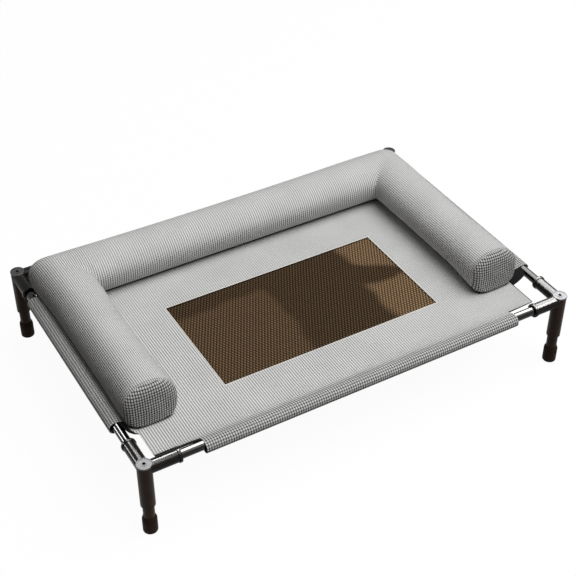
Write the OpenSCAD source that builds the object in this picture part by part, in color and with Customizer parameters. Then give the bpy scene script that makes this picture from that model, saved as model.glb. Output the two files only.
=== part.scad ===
// Raised dog cot: a bolted tube frame on four feet, a stretched cloth deck with
// a mesh window, and a loose U-shaped bolster that lies on the deck.
// Lengths are in millimetres. X runs along the long side, Y to the back, Z up,
// and the origin is on the floor under the middle of the frame.

/* [Frame] */
// Distance between the leg axes along the long side
frame_len = 800; // [700:5:1100]
// Distance between the leg axes along the short side
frame_wid = 540; // [500:5:760]
// Height of the corner bolt heads above the floor
frame_h = 150; // [140:1:220]

/* [Rails] */
// Outer diameter of the rail tubes
rail_d = 16; // [14:0.5:17]
// Wall of the rail tubes
rail_wall = 1.2; // [0.8:0.1:2]
// Distance from a leg axis to the closed end of an arm socket
rail_stop = 17; // [15:0.5:24]
// Radial play between a tube and the bore that takes it
tube_play = 0.1; // [0.05:0.05:0.3]

/* [Corner fittings] */
// Outer diameter of the two arms
arm_d = 22; // [20:0.5:24]
// Distance from a leg axis to the mouth of an arm
arm_reach = 60; // [50:1:80]
// Distance of the arm axes below the top of the bolt heads
arm_drop = 11.5; // [11:0.5:16]
// Diameter of the bead round the mouth of an arm
bead_d = 25; // [24.5:0.5:28]
// Length of that bead
bead_len = 6; // [4:0.5:10]
// Rounding of the bead's rims
bead_edge = 1.6; // [0.5:0.1:1.9]
// Outer diameter of the upright post
post_d = 24.5; // [23:0.5:28]
// Height of the post
post_h = 88; // [70:1:95]
// Depth of the leg socket in the post
leg_seat = 52; // [30:1:55]
// Chamfer on the post's lower lip
lip = 1.5; // [0.5:0.1:2]
// Lead-in at the mouth of each socket
lead_in = 0.6; // [0.2:0.1:0.8]

/* [Corner bolts] */
// Diameter of the disc head
head_d = 25.5; // [24:0.5:30]
// Thickness of the disc head
head_t = 3; // [2.5:0.1:4]
// Rounding of the head's rim
head_edge = 0.8; // [0.3:0.1:1]
// Radial play between a head and the recess it sits in
head_play = 0.3; // [0.1:0.05:0.6]
// Outer diameter of the dished ring in the head
dish_d = 21; // [18:0.5:22]
// Diameter of the boss round the hex socket
boss_d = 10; // [8:0.5:12]
// Depth of the dished ring
dish_t = 0.5; // [0.2:0.1:0.8]
// Hex socket, across flats
hex_af = 5; // [4:0.5:6]
// Depth of the hex socket
hex_t = 2.2; // [1.5:0.1:2.4]
// Diameter of the threaded shank
shank_d = 6; // [5:0.5:8]
// Length of the shank below the head
shank_len = 48; // [44:1:52]
// Radial play round the shank
shank_play = 0.15; // [0.1:0.05:0.4]

/* [Legs and feet] */
// Outer diameter of the leg tubes
leg_d = 19; // [17:0.5:20]
// Wall of the leg tubes
leg_wall = 1.2; // [0.8:0.1:2]
// Length of the threaded plug in the top of a leg tube
plug_len = 18; // [15:1:25]
// Radial play round the plug
plug_play = 0.05; // [0.02:0.01:0.1]
// Outer diameter of the rubber feet
foot_d = 24.5; // [23:0.5:32]
// Height of the rubber feet
foot_h = 33; // [28:1:45]
// Rubber under the end of the leg tube
foot_floor = 4; // [3:0.5:8]
// Wall of the foot at its upper rim
foot_rim = 1; // [0.6:0.1:1.4]
// Height of the sloping shoulder at the top of the foot
foot_shoulder = 5; // [3:0.5:8]
// Rounding of the foot's lower edge
foot_round = 3; // [1:0.5:4]
// Distance of the groove from the top of the foot
groove_drop = 7.5; // [7:0.5:12]
// Radius of the groove
groove_r = 0.7; // [0.4:0.1:1]

/* [Deck cloth] */
// Thickness of the cloth
cloth_t = 1.2; // [0.8:0.1:1.6]
// Inner radius of the loose loop that a hem pocket makes round its rail
hem_loop_r = 10; // [9:0.1:12]
// How far that loop stands outward of the rail
hem_bulge = 2.4; // [0.5:0.1:4]
// Gap between a rail and the cloth that hangs on it
hem_gap = 0.1; // [0.05:0.05:0.3]
// Distance from a leg axis to a hem mouth on the long rails
hem_end_long = 100; // [85:1:140]
// Distance from a front leg axis to a hem mouth on the side rails
hem_end_front = 103; // [85:1:140]
// Distance from a back leg axis to a hem mouth on the side rails
hem_end_back = 83; // [75:1:140]
// Distance from the long rails to the panel's edge
edge_long = 20; // [18:0.5:28]
// Distance from the left rail to the panel's edge
edge_left = 24; // [20:0.5:60]
// Distance from the right rail to the panel's edge
edge_right = 45; // [20:0.5:60]
// Width that a hem's stitching overlaps the panel
stitch_lap = 5; // [3:0.5:10]

/* [Mesh window] */
// Length of the window along X
window_len = 418; // [300:2:440]
// Width of the window along Y
window_wid = 222; // [150:2:230]
// Distance from the panel's front edge to the window
window_front = 82; // [60:1:100]
// Lap of the mesh under the cloth
mesh_lap = 12; // [6:1:20]
// Thickness of the mesh
mesh_t = 0.8; // [0.5:0.1:1.2]
// Width of the strands
strand_w = 4; // [3:0.5:6]
// Gaps along X
mesh_cols = 24; // [12:1:25]
// Gaps along Y
mesh_rows = 12; // [6:1:12]

/* [Bolster] */
// Width of the bolster's section
bolster_w = 96.5; // [80:0.5:100]
// Height of the bolster above the deck
bolster_h = 77; // [60:1:90]
// Part of the round section that is pressed flat underneath
bolster_squash = 3.5; // [2:0.5:8]
// Distance from the panel's left edge to the left arm's axis
bolster_left = 30; // [28:0.5:50]
// Distance from the panel's right edge to the right arm's axis
bolster_right = 34; // [28:0.5:50]
// Distance from the panel's back edge to the back axis
bolster_back = 74; // [58:1:76]
// Distance from the panel's front edge to the ends of the arms
bolster_front = 57; // [40:1:110]
// Radius of the two outer corners
corner_r = 24; // [20:1:60]
// Radius of the crease inside the two corners
crease_r = 2.5; // [2:0.5:4]
// Rounding of the two ends
end_round = 14; // [8:1:20]
// How far the rounded ends sit down on the deck, as a part of their rounding
end_sit = 0.7; // [0:0.1:1]
// Swell of the two end discs
end_swell = 3; // [1:0.5:5]
// How much the sides draw in halfway along a run
draw_in = 1.5; // [0:0.5:3]
// Gap between the bolster and the deck
bolster_gap = 0.3; // [0.2:0.05:0.6]
// Gap between the bolster's cover and its filling
fill_gap = 0.3; // [0.2:0.05:0.6]

/* [Hidden] */

$fn = 64;
eps = 0.01;

// Corners as signs along X and Y
FL = [-1, -1];
FR = [1, -1];
BL = [-1, 1];
BR = [1, 1];

half_len = frame_len / 2;
half_wid = frame_wid / 2;

// Heights, from the top down
seat_z = frame_h - head_t;
rail_z = frame_h - arm_drop;
post_z = seat_z - post_h;
leg_top = post_z + leg_seat;
leg_bore = leg_d - 2 * leg_wall;
deck_top = rail_z + cloth_t / 2;

// Edges of the flat panel
panel_x0 = -half_len + edge_left;
panel_x1 = half_len - edge_right;
panel_y0 = -half_wid + edge_long;
panel_y1 = half_wid - edge_long;
window_y0 = panel_y0 + window_front;

// Hem pocket: the cloth lies on top of the rail and loops loosely round its outer side
hem_rail_r = rail_d / 2 + hem_gap;
hem_loop = [-hem_bulge, hem_rail_r - hem_loop_r];

// Bolster axes and ends
arm_left = panel_x0 + bolster_left;
arm_right = panel_x1 - bolster_right;
arm_back = panel_y1 - bolster_back;
arm_front = panel_y0 + bolster_front;
bolster_z = deck_top + bolster_gap;

// Points round the section, steps in each end and steps in each corner
sect_n = 20;
end_n = 4;
bend_n = 4;
run_n = 3;
// Exponent below 1 squares the round section a little
sect_pow = 0.9;

// Shared shapes

// Moves a front-left corner piece to another corner
module at_corner(c) {
    translate([c.x * half_len, c.y * half_wid, 0])
        mirror([c.x > 0 ? 1 : 0, 0, 0])
            mirror([0, c.y > 0 ? 1 : 0, 0])
                children();
}

// Half-section of a round bar whose two rims are rounded
module rounded_bar(r, len, edge) {
    translate([0, edge])
        square([r, len - 2 * edge]);
    square([r - edge, len]);
    for (y = [edge, len - edge])
        translate([r - edge, y])
            circle(edge);
}

module tube(d, wall, len) {
    difference() {
        cylinder(d = d, h = len);
        translate([0, 0, -1])
            cylinder(d = d - 2 * wall, h = len + 2);
    }
}

// Lays a shape drawn along Z on the X or the Y axis
module along_x() {
    rotate([0, 90, 0])
        children();
}

module along_y() {
    rotate([-90, 0, 0])
        children();
}

// Socket that opens at its upper end, with a lead-in at the mouth
module socket(d, from, to) {
    translate([0, 0, from])
        cylinder(d = d, h = to - from + 1);
    translate([0, 0, to - lead_in])
        cylinder(d1 = d, d2 = d + 2 * lead_in, h = lead_in + eps);
}

// Corner pieces, drawn at the front-left corner

module arm() {
    cylinder(d = arm_d, h = arm_reach - bead_len / 2);
    translate([0, 0, arm_reach - bead_len])
        rotate_extrude()
            rounded_bar(bead_d / 2, bead_len, bead_edge);
}

module post() {
    r = post_d / 2;
    rotate_extrude()
        polygon([[0, post_z], [r - lip, post_z], [r, post_z + lip], [r, seat_z], [0, seat_z]]);
}

module corner_fitting() {
    rail_socket_d = rail_d + 2 * tube_play;
    leg_socket_d = leg_d + 2 * tube_play;
    color("#2b2825")
        difference() {
            union() {
                post();
                translate([0, 0, rail_z]) {
                    along_x() arm();
                    along_y() arm();
                }
            }
            translate([0, 0, rail_z]) {
                along_x() socket(rail_socket_d, rail_stop, arm_reach);
                along_y() socket(rail_socket_d, rail_stop, arm_reach);
            }
            // Leg socket, open at the bottom
            translate([0, 0, leg_top])
                mirror([0, 0, 1])
                    socket(leg_socket_d, 0, leg_seat);
            // Recess for the bolt head and hole for its shank
            translate([0, 0, seat_z])
                cylinder(d = head_d + 2 * head_play, h = frame_h);
            translate([0, 0, leg_top - 1])
                cylinder(d = shank_d + 2 * shank_play, h = frame_h);
        }
}

module corner_bolt() {
    color("#b9b7b4")
        difference() {
            union() {
                translate([0, 0, seat_z])
                    rotate_extrude()
                        rounded_bar(head_d / 2, head_t, head_edge);
                translate([0, 0, seat_z - shank_len])
                    cylinder(d = shank_d, h = shank_len + eps);
            }
            translate([0, 0, frame_h - dish_t])
                tube(dish_d, (dish_d - boss_d) / 2, dish_t + 1);
            translate([0, 0, frame_h - hex_t])
                cylinder(d = hex_af / cos(30), h = hex_t + 1, $fn = 6);
        }
}

module leg_plug() {
    color("#8d8a86")
        translate([0, 0, leg_top - plug_len])
            tube(leg_bore - 2 * plug_play, (leg_bore - shank_d) / 2 - plug_play - shank_play, plug_len);
}

module leg_tube() {
    color("#2a2119")
        translate([0, 0, foot_floor])
            tube(leg_d, leg_wall, leg_top - foot_floor);
}

module foot() {
    r = foot_d / 2;
    rim_r = leg_d / 2 + tube_play + foot_rim;
    shoulder_z = foot_h - foot_shoulder;
    color("#1c1815")
        rotate_extrude()
            difference() {
                union() {
                    translate([0, foot_round])
                        square([r, shoulder_z - foot_round]);
                    square([r - foot_round, foot_round]);
                    translate([r - foot_round, foot_round])
                        circle(foot_round);
                    polygon([[0, shoulder_z], [r, shoulder_z], [rim_r, foot_h], [0, foot_h]]);
                }
                translate([0, foot_floor])
                    square([leg_d / 2 + tube_play, foot_h]);
                translate([r, foot_h - groove_drop])
                    circle(groove_r);
                translate([-foot_d, -1])
                    square([foot_d, foot_h + 2]);
            }
}

// Rails, seated on the closed ends of the arm sockets

module long_rail(side) {
    color("#5a5a5c")
        translate([-half_len + rail_stop, side * half_wid, rail_z])
            along_x() tube(rail_d, rail_wall, frame_len - 2 * rail_stop);
}

module short_rail(side) {
    color("#5a5a5c")
        translate([side * half_len, -half_wid + rail_stop, rail_z])
            along_y() tube(rail_d, rail_wall, frame_wid - 2 * rail_stop);
}

// Deck cloth

// Point where the line from p touches a circle, on its upper (1) or lower (-1) side
function touch(c, r, p, side) =
    let (d = p - c, a = atan2(d.y, d.x) + side * acos(r / norm(d)))
    c + r * [cos(a), sin(a)];

// Outline of a pocket round the rail, grown by a skin, with its tip inward at the panel
module pocket(skin, reach, tip) {
    rail_r = hem_rail_r + skin;
    loop_r = hem_loop_r + skin;
    up = [reach, tip / 2];
    low = [reach, -tip / 2];
    circle(rail_r);
    translate(hem_loop)
        circle(loop_r);
    polygon([
        hem_loop, touch(hem_loop, loop_r, low, -1), low, up,
        touch([0, 0], rail_r, up, 1), [0, rail_r], hem_loop + [0, loop_r]
    ]);
}

// Hem pocket along Z, open towards the panel side of +X
module hem(len, edge) {
    linear_extrude(len)
        difference() {
            pocket(cloth_t, edge + stitch_lap, cloth_t);
            pocket(0, edge, hem_gap);
        }
}

module long_hem(side) {
    len = frame_len - 2 * hem_end_long;
    mirror([0, side > 0 ? 1 : 0, 0])
        translate([-len / 2, -half_wid, rail_z])
            rotate([90, 0, 90])
                hem(len, edge_long);
}

module short_hem(side, edge) {
    len = frame_wid - hem_end_front - hem_end_back;
    mirror([side > 0 ? 1 : 0, 0, 0])
        translate([-half_len, half_wid - hem_end_back, rail_z])
            rotate([90, 0, 0])
                hem(len, edge);
}

module panel() {
    translate([0, 0, rail_z - cloth_t / 2])
        linear_extrude(cloth_t)
            difference() {
                translate([panel_x0, panel_y0])
                    square([panel_x1 - panel_x0, panel_y1 - panel_y0]);
                translate([-window_len / 2, window_y0])
                    square([window_len, window_wid]);
            }
}

module deck_cover() {
    color("#c4c4c4") {
        panel();
        long_hem(-1);
        long_hem(1);
        short_hem(-1, edge_left);
        short_hem(1, edge_right);
    }
}

// Open mesh sewn under the window
module mesh_panel() {
    len = window_len + 2 * mesh_lap;
    wid = window_wid + 2 * mesh_lap;
    pitch_x = window_len / mesh_cols;
    pitch_y = window_wid / mesh_rows;
    color("#4b3c2d")
        translate([-window_len / 2, window_y0, rail_z - cloth_t / 2 - mesh_t])
            linear_extrude(mesh_t)
                difference() {
                    translate([-mesh_lap, -mesh_lap])
                        square([len, wid]);
                    for (i = [0 : mesh_cols - 1], j = [0 : mesh_rows - 1])
                        translate([i * pitch_x + strand_w / 2, j * pitch_y + strand_w / 2])
                            square([pitch_x - strand_w, pitch_y - strand_w]);
                }
}

// Bolster

function signed_pow(v, e) = sign(v) * pow(abs(v), e);

// Section point at angle t as [outward, up], drawn in by an inset, with its base at the skin
function section(t, inset, skin) =
    let (
        b = (bolster_h + bolster_squash) / 2,
        mid = bolster_h - b - end_sit * (inset - skin),
        up = mid + (b - inset) * signed_pow(sin(t), sect_pow)
    )
    [(bolster_w / 2 - inset) * signed_pow(cos(t), sect_pow), max(skin, up)];

// Plan of a corner at angle a, for a line that runs u outward of the axis
function bend(u, a) =
    let (r = crease_r + (corner_r - crease_r) * (u / bolster_w + 0.5))
    [u - r + r * cos(a), u - r + r * sin(a)];

// A station is [kind, place along the run, inset]; kinds 0 to 4 go from the left end to the right
function run_inset(k) = draw_in * sin(180 * k / run_n);

run_y0 = arm_front + end_round;
run_y1 = arm_back - bolster_w / 2 - crease_r - 2;
run_x0 = arm_left + bolster_w / 2 + crease_r + 2;
run_x1 = arm_right - bolster_w / 2 - crease_r - 2;

function end_station(kind, i, skin) =
    let (a = 90 * i / end_n)
    [kind, arm_front + skin + end_round * (1 - cos(a)), skin + end_round * (1 - sin(a))];

function stations(skin) = concat(
    [for (i = [0 : end_n - 1]) end_station(0, i, skin)],
    [for (k = [0 : run_n]) [0, run_y0 + skin + (run_y1 - run_y0 - skin) * k / run_n, skin + run_inset(k)]],
    [for (i = [0 : bend_n]) [1, 90 * i / bend_n, skin]],
    [for (k = [0 : run_n]) [2, run_x0 + (run_x1 - run_x0) * k / run_n, skin + run_inset(k)]],
    [for (i = [bend_n : -1 : 0]) [3, 90 * i / bend_n, skin]],
    [for (k = [run_n : -1 : 0]) [4, run_y0 + skin + (run_y1 - run_y0 - skin) * k / run_n, skin + run_inset(k)]],
    [for (i = [end_n - 1 : -1 : 0]) end_station(4, i, skin)]
);

// Point on the bolster's skin at a station and a section angle
function skin_point(s, t, skin) =
    let (
        q = section(t, s[2], skin),
        c = bend(q.x, s[1]),
        xy = s[0] == 0 ? [arm_left - q.x, s[1]]
            : s[0] == 1 ? [arm_left - c.x, arm_back + c.y]
            : s[0] == 2 ? [s[1], arm_back + q.x]
            : s[0] == 3 ? [arm_right + c.x, arm_back + c.y]
            : [arm_right + q.x, s[1]]
    )
    [xy.x, xy.y, bolster_z + q.y];

// Closed U-shaped form, drawn in all round by skin
module bolster_form(skin) {
    s = stations(skin);
    n = len(s);
    tip_y = arm_front + skin - end_swell;
    tip_z = bolster_z + 0.42 * bolster_h;
    points = concat(
        [for (i = [0 : n - 1], j = [0 : sect_n - 1]) skin_point(s[i], 360 * j / sect_n, skin)],
        [[arm_left, tip_y, tip_z], [arm_right, tip_y, tip_z]]
    );
    first_tip = n * sect_n;
    last = (n - 1) * sect_n;
    sides = [
        for (i = [0 : n - 2], j = [0 : sect_n - 1])
            let (a = i * sect_n + j, b = i * sect_n + (j + 1) % sect_n, c = b + sect_n, d = a + sect_n)
            each [[a, c, b], [a, d, c]]
    ];
    ends = [
        for (j = [0 : sect_n - 1])
            let (k = (j + 1) % sect_n)
            each [[first_tip, j, k], [first_tip + 1, last + k, last + j]]
    ];
    polyhedron(points, concat(sides, ends), convexity = 6);
}

module bolster_cover() {
    color("#c8c8c8")
        difference() {
            bolster_form(0);
            bolster_form(cloth_t);
        }
}

module bolster_fill() {
    color("#f2f2ee")
        bolster_form(cloth_t + fill_gap);
}

at_corner(FL) corner_fitting();  // corner_fitting_fl
at_corner(FR) corner_fitting();  // corner_fitting_fr
at_corner(BL) corner_fitting();  // corner_fitting_bl
at_corner(BR) corner_fitting();  // corner_fitting_br
at_corner(FL) corner_bolt();  // corner_bolt_fl
at_corner(FR) corner_bolt();  // corner_bolt_fr
at_corner(BL) corner_bolt();  // corner_bolt_bl
at_corner(BR) corner_bolt();  // corner_bolt_br
at_corner(FL) leg_plug();  // leg_plug_fl
at_corner(FR) leg_plug();  // leg_plug_fr
at_corner(BL) leg_plug();  // leg_plug_bl
at_corner(BR) leg_plug();  // leg_plug_br
at_corner(FL) leg_tube();  // leg_tube_fl
at_corner(FR) leg_tube();  // leg_tube_fr
at_corner(BL) leg_tube();  // leg_tube_bl
at_corner(BR) leg_tube();  // leg_tube_br
at_corner(FL) foot();  // foot_fl
at_corner(FR) foot();  // foot_fr
at_corner(BL) foot();  // foot_bl
at_corner(BR) foot();  // foot_br
long_rail(-1);  // rail_front
long_rail(1);  // rail_back
short_rail(-1);  // rail_left
short_rail(1);  // rail_right
deck_cover();
mesh_panel();
bolster_cover();
bolster_fill();
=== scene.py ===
# %% [markdown]
# # A raised dog cot
#
# The cot is a low bolted frame of steel tubes. A sheet of thick woven cloth is
# stretched between its rails, with a net sewn into the middle, and a stuffed
# U-shaped bolster lies loose on the cloth. The hard parts come from the CAD model
# and only need finishes. The cloth, the net and the bolster are made here.

# %% Load the frame
import math

import bmesh
import bpy
import numpy as np
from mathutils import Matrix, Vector


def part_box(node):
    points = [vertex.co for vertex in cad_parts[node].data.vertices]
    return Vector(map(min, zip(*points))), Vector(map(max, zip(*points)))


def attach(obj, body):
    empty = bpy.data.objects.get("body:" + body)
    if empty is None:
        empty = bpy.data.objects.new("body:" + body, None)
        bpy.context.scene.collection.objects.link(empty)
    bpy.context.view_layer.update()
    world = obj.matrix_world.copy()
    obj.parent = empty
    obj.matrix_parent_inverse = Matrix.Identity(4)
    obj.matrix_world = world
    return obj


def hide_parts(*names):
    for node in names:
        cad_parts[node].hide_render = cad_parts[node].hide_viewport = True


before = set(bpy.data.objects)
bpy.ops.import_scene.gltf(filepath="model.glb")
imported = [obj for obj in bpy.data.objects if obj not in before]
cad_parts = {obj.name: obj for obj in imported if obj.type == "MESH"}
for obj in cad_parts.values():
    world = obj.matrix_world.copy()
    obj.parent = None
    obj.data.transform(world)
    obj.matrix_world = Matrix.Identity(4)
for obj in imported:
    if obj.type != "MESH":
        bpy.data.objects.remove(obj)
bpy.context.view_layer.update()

MM = 0.001
NEAR = 1e-6


def short(values):
    """Values that are short to print."""
    return [round(v, 4) for v in values]


def named(name):
    """The object just added, with its name."""
    bpy.context.object.name = name
    return bpy.context.object


scene = bpy.context.scene
scene.view_settings.view_transform = "Standard"

# %% [markdown]
# The camera comes first, because every later choice is judged through it. Its place
# was solved from the four corners and the feet, so it needs no roll and no shift.

# %% Camera
EYE = (-0.8485, -1.4796, 1.5154)
AZIMUTH = math.radians(-29.994)
ELEVATION = math.radians(38.916)

bpy.ops.object.camera_add(location=EYE)
camera = named("photo_camera")
away = Vector((
    math.sin(AZIMUTH) * math.cos(ELEVATION),
    -math.cos(AZIMUTH) * math.cos(ELEVATION),
    math.sin(ELEVATION),
))
camera.rotation_euler = away.to_track_quat("Z", "Y").to_euler()
camera.data.sensor_width = 36
camera.data.lens = 76.985
scene.camera = camera
print("camera", short(camera.location))

# %% [markdown]
# Materials are trees of nodes. One helper turns an sRGB hex value into the linear
# colour that shaders expect, and one adds a node and links it. The others add the
# kinds of node that come up most, to the tree that their inputs are in.

# %% Colour and node helpers
def colour(code):
    """Linear colour of an sRGB value such as #c8c8c8."""
    parts = [int(code[i:i + 2], 16) / 255 for i in (1, 3, 5)]
    return tuple(c / 12.92 if c <= 0.04045 else ((c + 0.055) / 1.055) ** 2.4 for c in parts) + (1.0,)


def add(tree, kind, inputs=(), **settings):
    """Adds a shader node, fills or links its inputs, and returns its outputs."""
    made = tree.nodes.new("ShaderNode" + kind)
    for name, value in settings.items():
        setattr(made, name, value)
    for socket, value in dict(inputs).items():
        if isinstance(value, bpy.types.NodeSocket):
            tree.links.new(value, made.inputs[socket])
        else:
            made.inputs[socket].default_value = value
    return made.outputs


def after(kind, inputs, **settings):
    """Adds a node to the tree of the sockets that feed it."""
    sockets = [value for value in inputs.values() if isinstance(value, bpy.types.NodeSocket)]
    return add(sockets[0].id_data, kind, inputs, **settings)


def finish_named(name, **constants):
    """A new material and its shader, with some sockets set."""
    made = bpy.data.materials.new(name)
    made.use_nodes = True
    shader = made.node_tree.nodes["Principled BSDF"]
    for socket, value in constants.items():
        shader.inputs[socket.replace("_", " ")].default_value = value
    return made, shader


def drive(shader, **sources):
    """Links sources to the sockets of a shader."""
    for socket, source in sources.items():
        shader.id_data.links.new(source, shader.inputs[socket.replace("_", " ")])


def placed(name, **constants):
    """A new material, its shader, and the place in the frame for it."""
    made, shader = finish_named(name, **constants)
    return made, shader, add(shader.id_data, "TexCoord")["Object"]


def calc(operation, *values):
    """An operation on numbers."""
    return after("Math", dict(enumerate(values)), operation=operation)[0]


def vector(operation, *values, **scale):
    """An operation on vectors. A length or a dot product is a number."""
    made = after("VectorMath", {**dict(enumerate(values)), **scale}, operation=operation)
    return made["Value" if operation in ("LENGTH", "DOT_PRODUCT") else "Vector"]


def remap(value, source=(0, 1), target=(0, 1), **settings):
    """Maps one range of a number to another, and stops at its ends."""
    return after("MapRange", dict(enumerate((value, *source, *target))), **settings)[0]


def noise(place, scale, detail, output=0):
    """Noise with so many lumps to the metre."""
    return after("TexNoise", {"Vector": place, "Scale": scale, "Detail": detail})[output]


def ramp(value, *codes, at=(0.3, 0.7)):
    """A run of colours, each at its place."""
    made = after("ValToRGB", {0: value})[0]
    elements = made.node.color_ramp.elements
    while len(elements) < len(codes):
        elements.new(0.5)
    for element, place, code in zip(elements, at, codes):
        element.position = place
        element.color = colour(code)
    return made


def blend(share, first, second):
    """A mix of two colours."""
    return after("Mix", {"Factor": share, "A": first, "B": second}, data_type="RGBA")[2]


def bump(height, strength, depth):
    """A normal that follows a height."""
    return after("Bump", {"Height": height, "Strength": strength, "Distance": depth})[0]


# %% [markdown]
# The backdrop is plain white, as in a cut-out picture. White paper all round would
# flood the sides of the cot with light, so the floor and the air are white only for
# what the camera and shiny surfaces see, and darker for the light they bounce. The
# floor keeps a faint shadow.

# %% Stage
AIR = 0.14
FLOOR_SIZE = 30
FLOOR_BOUNCE = "#574f47"
SHADOW_SHARE = 0.045
WHITE = colour("#ffffff")


def seen_directly(tree):
    """One for what the camera sees, also in mirrors and through glass, zero for bounced light."""
    path = add(tree, "LightPath")
    seen = calc("MAXIMUM", path["Is Camera Ray"], path["Is Glossy Ray"])
    return calc("MAXIMUM", seen, path["Is Transmission Ray"])


world = scene.world or bpy.data.worlds.new("studio_air")
scene.world = world
world.use_nodes = True
air = world.node_tree
air.nodes.clear()
level = remap(seen_directly(air), target=(AIR, 1))
sky = add(air, "Background", {"Color": WHITE, "Strength": level})[0]
add(air, "OutputWorld", {"Surface": sky})

bpy.ops.mesh.primitive_plane_add(size=FLOOR_SIZE)
floor = named("studio_floor")
paper, shader = finish_named("white_paper")
tree = shader.id_data
tree.nodes.clear()
lit = add(tree, "BsdfDiffuse", {"Color": WHITE})[0]
glow = add(tree, "Emission", {"Color": WHITE})[0]
shown = add(tree, "MixShader", {0: SHADOW_SHARE, 1: glow, 2: lit})[0]
bounced = add(tree, "BsdfDiffuse", {"Color": colour(FLOOR_BOUNCE)})[0]
both = add(tree, "MixShader", {0: seen_directly(tree), 1: bounced, 2: shown})[0]
add(tree, "OutputMaterial", {"Surface": both})
floor.data.materials.append(paper)
print("stage", floor.name)

# %% [markdown]
# One soft box lights the cot from above and from the right. It is so wide that the
# shade beside the bolster has no edge. The others are cards, as a photographer hangs
# up for shiny things. Each shows only in the reflections of the tubes, fittings or
# bolts that it is linked to: strips and panels draw white lines on tubes, and sheens
# and bolt cards lift a top.

# %% Lights
OVERHEAD = 2.54
DOWN = None
COT = (0, 0, 0.14)
FRONT_LEFT_CORNER = (-0.4, -0.27, 0.14)
LEFT_TUBES = ["corner_fitting_fl", "rail_left"]
RIGHT_TUBES = ["corner_fitting_fr", "corner_fitting_br", "rail_front", "rail_back"]
LEFT_SIZE = (0.9, 3.9)
RIGHT_PLACE, RIGHT_SIZE = (0.85, 1.3, OVERHEAD), (4.7, 3.4)
BOLT_PLACE, BOLT_SIZE = (2.3, 1.9, OVERHEAD), (5.4, 2.4)
# Each lamp: name, place, what it faces, size, watts, and the parts that show it
LAMPS = (
    ("key_box", (1.6, -1.45, 4.65), COT, (4.6, 4.6), 292, ()),
    ("left_strip", (-0.3, 0.25, OVERHEAD), DOWN, LEFT_SIZE, 600, LEFT_TUBES),
    ("left_panel", (1.1, 0.25, OVERHEAD), DOWN, LEFT_SIZE, 600, LEFT_TUBES),
    ("left_glint", (-2.16, 1.28, 0.68), FRONT_LEFT_CORNER, (0.4, 0.4), 36, LEFT_TUBES),
    ("left_sheen", (0.33, 1.15, OVERHEAD), DOWN, (0.8, 0.9), 380, ["corner_fitting_fl"]),
    ("right_panel", RIGHT_PLACE, DOWN, RIGHT_SIZE, 2400, RIGHT_TUBES),
    ("right_rail_card", RIGHT_PLACE, DOWN, RIGHT_SIZE, 650, ["rail_right"]),
    ("right_sheen", RIGHT_PLACE, DOWN, RIGHT_SIZE, 13000, ["corner_fitting_fr"]),
    ("front_sheen", (2.0, -1.2, OVERHEAD), DOWN, (1.4, 2.4), 1400, ["corner_fitting_fr"]),
    ("left_bolt_card", BOLT_PLACE, DOWN, BOLT_SIZE, 310, ["corner_bolt_fl"]),
    ("right_bolt_card", BOLT_PLACE, DOWN, BOLT_SIZE, 480, ["corner_bolt_fr"]),
)


def soft_box(name, centre, aim, size, watts):
    """A rectangular lamp at a place that faces another place, or straight down."""
    bpy.ops.object.light_add(type="AREA", location=centre)
    lamp = named(name)
    facing = Vector(centre) - Vector(aim or (centre[0], centre[1], 0))
    lamp.rotation_euler = facing.to_track_quat("Z", "Y").to_euler()
    lamp.data.shape = "RECTANGLE"
    lamp.data.size, lamp.data.size_y = size
    lamp.data.energy = watts
    return lamp


def light_only(lamp, parts):
    """Links a lamp to some parts, so that it lights no others."""
    group = bpy.data.collections.new(lamp.name + "_parts")
    for part in parts:
        group.objects.link(part)
    lamp.light_linking.receiver_collection = group


for *lamp_values, shows_in in LAMPS:
    lamp = soft_box(*lamp_values)
    if shows_in:
        light_only(lamp, [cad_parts[part] for part in shows_in])
        lamp.visible_diffuse = False

# %% [markdown]
# ## Hard parts
#
# The corner fittings are moulded in glass-filled nylon, black and glossier on the arms,
# with a very fine grain. The posts are coloured dark brown, a painted reflection of a brown floor.
# The four corners mirror each other, so the absolute value of the place folds them
# into one, and the distance from the post tells arm from post.

# %% Moulded nylon
FRAME_X = 0.400
FRAME_Y = 0.270
ARM_FROM = (12.5 * MM, 14.5 * MM)
MOULD_GRAIN = 0.8 * MM


def from_post(place):
    """Distance from the axis of the nearest post."""
    folded = vector("ABSOLUTE", place)
    local = vector("SUBTRACT", folded, (FRAME_X, FRAME_Y, 0))
    return vector("LENGTH", vector("MULTIPLY", local, (1, 1, 0)))


nylon, shader, place = placed("moulded_nylon", Specular_IOR_Level=0.08)
arm = remap(from_post(place), ARM_FROM)
blotch = noise(place, 60, 3)
# Painted reflection: the posts get a brown tone for a reflected brown floor, the arms stay black
brown_reflection = ramp(blotch, "#20140d", "#2f1e13")
black = ramp(blotch, "#131110", "#1e1b19")
gloss = remap(arm, target=(0.34, 0.14))
# The grain of the mould is about 0.3 mm; it is drawn at 0.8 mm so that it shows.
grain = noise(place, 1 / MOULD_GRAIN, 1)
drive(shader, Base_Color=blend(arm, brown_reflection, black),
      Roughness=calc("MULTIPLY_ADD", blotch, 0.1, gloss), Normal=bump(grain, 0.03, 0.2 * MM))

# %% [markdown]
# The rails are welded steel tube with a dark polished plating, like black nickel.
# Drawing leaves faint lines along a tube, so the noise is stretched along its axis.

# %% Plated steel tube
def plated_tube(name, stretch):
    """Dark plated steel whose draw lines run along one axis."""
    made, shader, place = placed(name, Metallic=1.0)
    drawn = after("Mapping", {"Vector": place, "Scale": stretch})[0]
    lines = noise(drawn, 900, 4)
    tint = ramp(noise(place, 25, 2), "#272727", "#302f2e")
    drive(shader, Base_Color=tint, Roughness=remap(lines, target=(0.06, 0.18)),
          Normal=bump(lines, 0.05, 0.1 * MM))
    return made


plated_x = plated_tube("plated_steel_long", (0.02, 1, 1))
plated_y = plated_tube("plated_steel_short", (1, 0.02, 1))

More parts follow.
